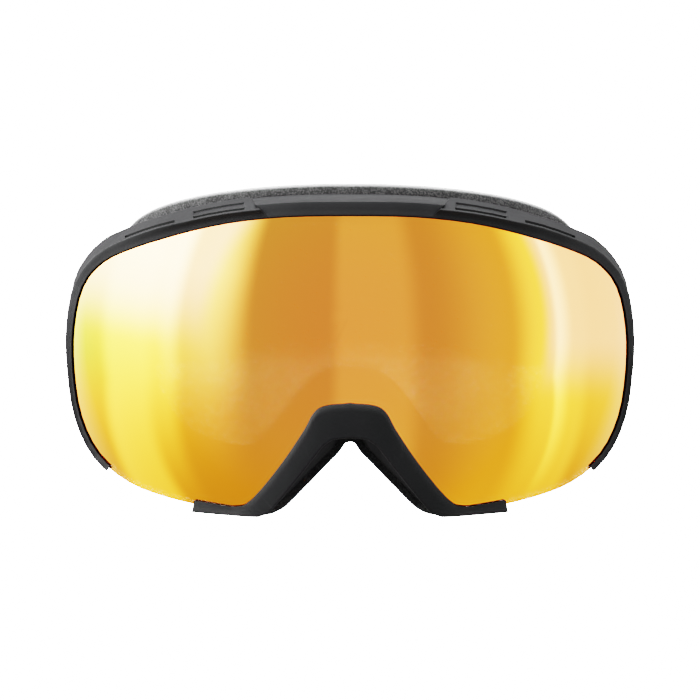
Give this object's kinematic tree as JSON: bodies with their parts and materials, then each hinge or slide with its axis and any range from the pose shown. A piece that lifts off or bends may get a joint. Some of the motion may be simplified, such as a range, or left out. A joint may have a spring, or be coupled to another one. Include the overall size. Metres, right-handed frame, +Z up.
{
  "type": "ski goggles",
  "caption": "Ski goggles with a spherical gold mirror double lens, half-open dark rim, layered face foam, hinged strap arms and an elastic strap with adjusters.",
  "frame": {"origin": "where the middle of the brow's face foam touches the face, midway between the eyes", "axes": "+Y from the lens towards the wearer's head, +Z up, +X to the wearer's left"},
  "size_m": [0.1822, 0.2577, 0.1043],
  "materials": {
    "frame_plastic": "fine moulded texture",
    "rim_plastic": "soft-touch matte",
    "mirror_lens": "gold mirror coating, slightly see-through",
    "inner_lens": "clear anti-fog",
    "gasket_foam": "closed-cell foam",
    "filter_foam": "open-cell foam mesh",
    "firm_foam": "dense open-cell foam",
    "soft_foam": "soft open-cell foam",
    "fleece": "brushed fleece",
    "pin_steel": "satin",
    "arm_plastic": "satin moulded",
    "strap_webbing": "ribbed elastic webbing",
    "silicone": "smooth silicone"
  },
  "bodies": {
    "frame": {"frame_chassis": "frame_plastic", "brow_rim": "rim_plastic", "left_rim_arm": "rim_plastic", "right_rim_arm": "rim_plastic", "nose_bridge": "rim_plastic", "outer_lens": "mirror_lens", "inner_lens": "inner_lens", "lens_gasket": "gasket_foam", "left_top_filter": "filter_foam", "right_top_filter": "filter_foam", "left_low_filter": "filter_foam", "right_low_filter": "filter_foam", "left_nose_filter": "filter_foam", "right_nose_filter": "filter_foam", "firm_face_foam": "firm_foam", "soft_face_foam": "soft_foam", "fleece_lining": "fleece", "left_hinge_bracket": "frame_plastic", "right_hinge_bracket": "frame_plastic", "left_hinge_pin": "pin_steel", "right_hinge_pin": "pin_steel", "rear_strap": "strap_webbing", "silicone_grip": "silicone"},
    "left_arm": {"left_strap_arm": "arm_plastic", "left_strap": "strap_webbing", "left_strap_tail": "strap_webbing"},
    "left_slider": {"left_adjuster": "arm_plastic", "left_strap_loop": "strap_webbing"},
    "right_arm": {"right_strap_arm": "arm_plastic", "right_strap": "strap_webbing", "right_strap_tail": "strap_webbing"},
    "right_slider": {"right_adjuster": "arm_plastic", "right_strap_loop": "strap_webbing"}
  },
  "joints": [
    {"name": "left_arm_hinge", "type": "hinge", "parent": "frame", "child": "left_arm", "pos_m": [0.084, 0.017, 0], "axis": [0, 0, -1], "range_deg": [-2.5, 15]},
    {"name": "right_arm_hinge", "type": "hinge", "parent": "frame", "child": "right_arm", "pos_m": [-0.084, 0.017, 0], "axis": [0, 0, 1], "range_deg": [-2.5, 15]},
    {"name": "left_adjuster_slide", "type": "slide", "parent": "left_arm", "child": "left_slider", "axis": [0, 1, 0], "range_m": [-0.04, 0], "deforming": ["left_strap_tail"]},
    {"name": "right_adjuster_slide", "type": "slide", "parent": "right_arm", "child": "right_slider", "axis": [0, 1, 0], "range_m": [-0.04, 0], "deforming": ["right_strap_tail"]}
  ]
}
